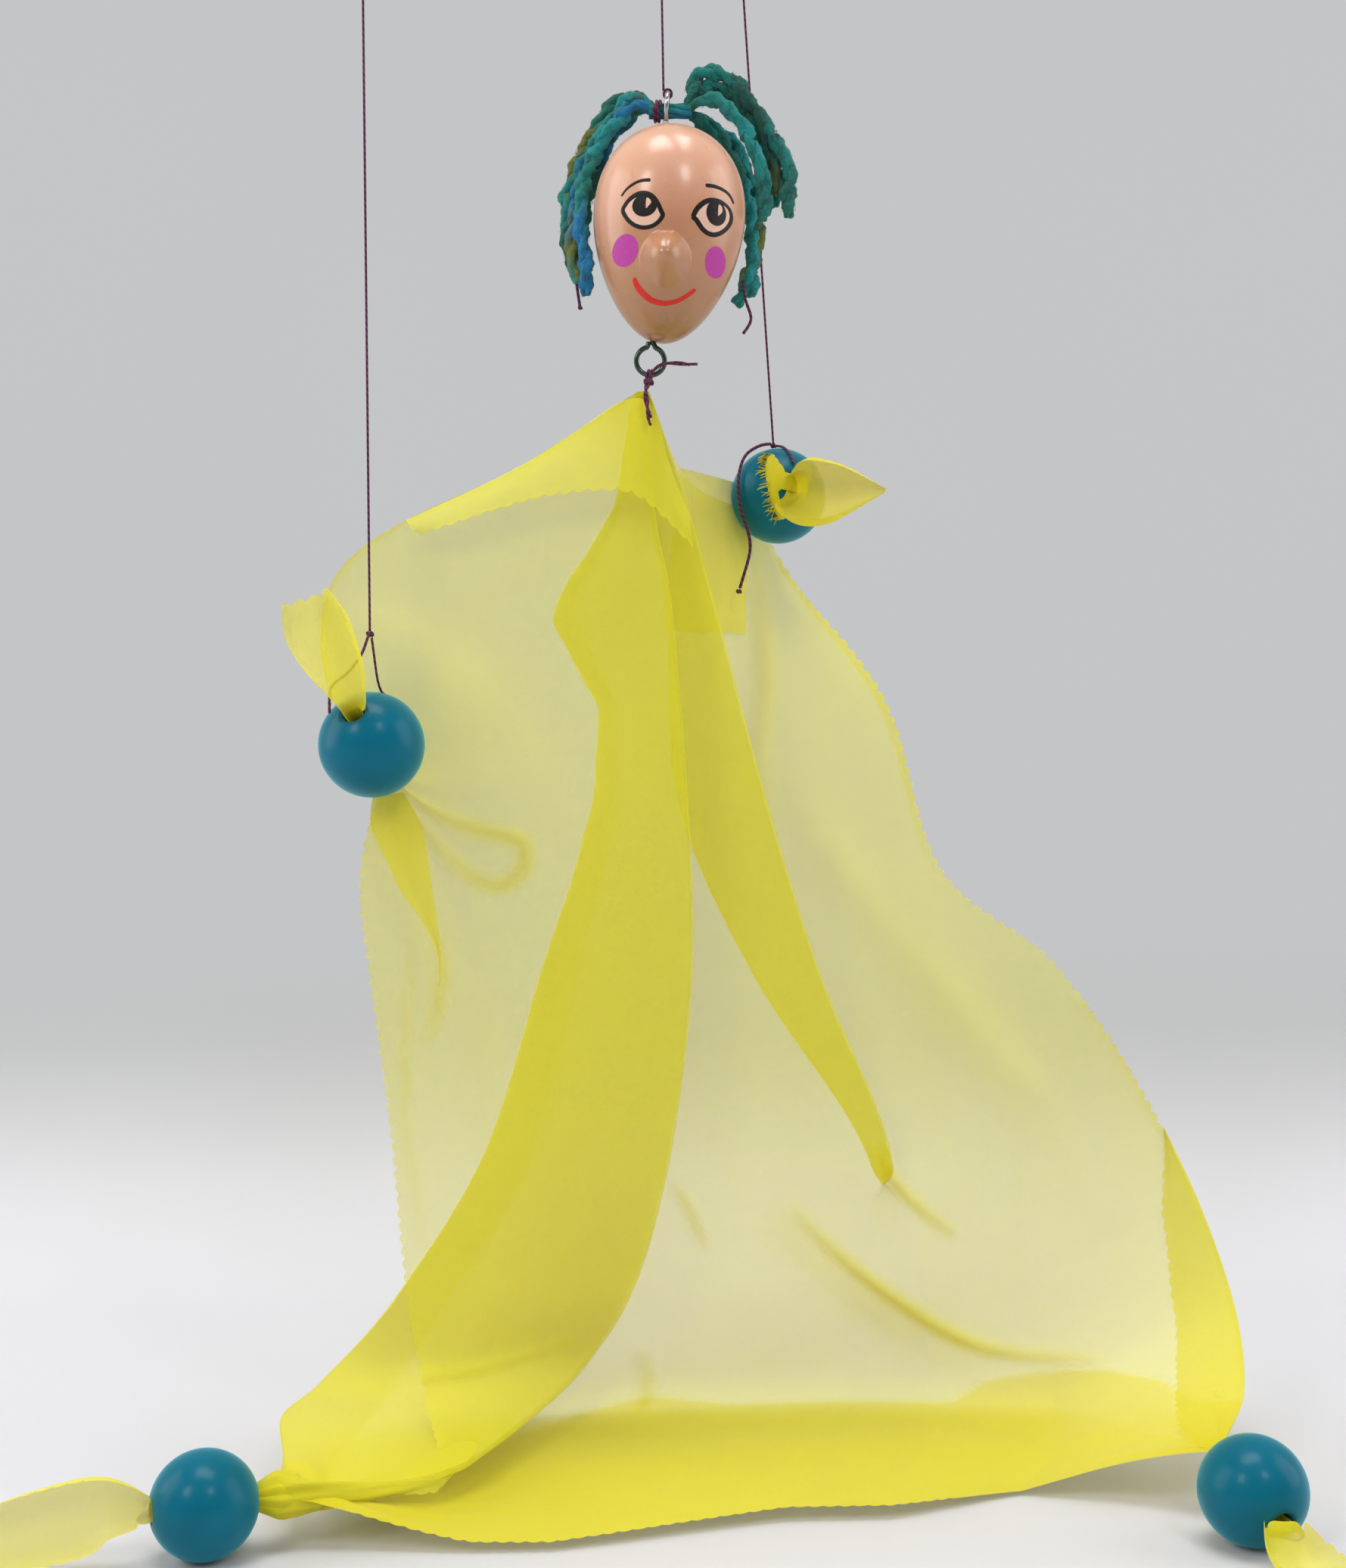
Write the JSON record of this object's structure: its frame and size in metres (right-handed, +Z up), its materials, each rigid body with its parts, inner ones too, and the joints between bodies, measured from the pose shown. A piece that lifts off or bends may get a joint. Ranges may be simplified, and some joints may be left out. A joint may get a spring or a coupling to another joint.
{
  "type": "marionette",
  "caption": "Scarf marionette: painted wooden egg head, bead hands and feet, sheer robe and yarn hair, hung by strings from a crossed wooden control.",
  "frame": {"origin": "middle of the control, between its two sticks, where the hand holds it", "axes": "+Z up along the head string, -Y the way the puppet faces, +X towards the puppet's left hand side, the viewer's right"},
  "size_m": [0.3772, 0.1889, 0.5022],
  "materials": {
    "wood": "bare planed softwood",
    "brass": "polished",
    "thread": "dark purple waxed thread",
    "skin": "glossy skin-coloured paint on wood",
    "steel": "plated steel wire",
    "yarn": "two-ply yarn in teal, blue and olive",
    "chiffon": "sheer yellow chiffon",
    "bead": "glossy turquoise lacquer on wood"
  },
  "bodies": {
    "control": {"main_bar": "wood", "cross_bar": "wood", "cross_screw": "brass", "head_string": "thread", "head_string_stop": "thread", "robe": "chiffon"},
    "neck": {"neck_tie": "thread"},
    "head": {"head": "skin", "top_screw_eye": "steel", "neck_screw_eye": "steel", "head_string_knot": "thread", "hair_bundle": "yarn", "hair_tie": "thread", "hair_left": "yarn", "hair_right": "yarn", "hair_back": "yarn", "hair_left_thread": "thread", "hair_right_thread": "thread"},
    "left_hand": {"left_hand_string": "thread", "left_hand_string_stop": "thread", "left_hand_loop": "thread", "left_hand_knot": "thread", "left_hand_bead": "bead", "left_hand_cloth": "chiffon"},
    "right_hand": {"right_hand_string": "thread", "right_hand_string_stop": "thread", "right_hand_loop": "thread", "right_hand_tail": "thread", "right_hand_bead": "bead", "right_hand_cloth": "chiffon"},
    "left_foot": {"left_foot_bead": "bead", "left_foot_cloth": "chiffon"},
    "right_foot": {"right_foot_bead": "bead", "right_foot_cloth": "chiffon"}
  },
  "joints": [
    {"name": "head_nod", "type": "hinge", "parent": "control", "child": "neck", "pos_m": [0.00612, -0.01151, -0.08053], "axis": [1, 0, 0], "range_deg": [-6, 6], "deforming": ["robe", "neck_tie"]},
    {"name": "head_turn", "type": "hinge", "parent": "neck", "child": "head", "pos_m": [-0.00065, -0.01151, -0.16295], "axis": [0.0819, 0, 0.9966], "range_deg": [-45, 45], "deforming": ["neck_tie"]},
    {"name": "left_hand_lift", "type": "slide", "parent": "control", "child": "left_hand", "axis": [0.0081, -0.0089, 0.9999], "range_m": [0, 0.06], "deforming": ["robe"]},
    {"name": "right_hand_lift", "type": "slide", "parent": "control", "child": "right_hand", "axis": [-0.0589, -0.1478, 0.9873], "range_m": [0, 0.05], "deforming": ["robe"]},
    {"name": "left_foot_swing", "type": "hinge", "parent": "control", "child": "left_foot", "pos_m": [-0.00072, -0.01151, -0.167], "axis": [-1, 0, 0], "range_deg": [0, 17], "deforming": ["robe"]},
    {"name": "right_foot_swing", "type": "hinge", "parent": "control", "child": "right_foot", "pos_m": [-0.00072, -0.01151, -0.167], "axis": [-1, 0, 0], "range_deg": [0, 17], "deforming": ["robe"]}
  ]
}
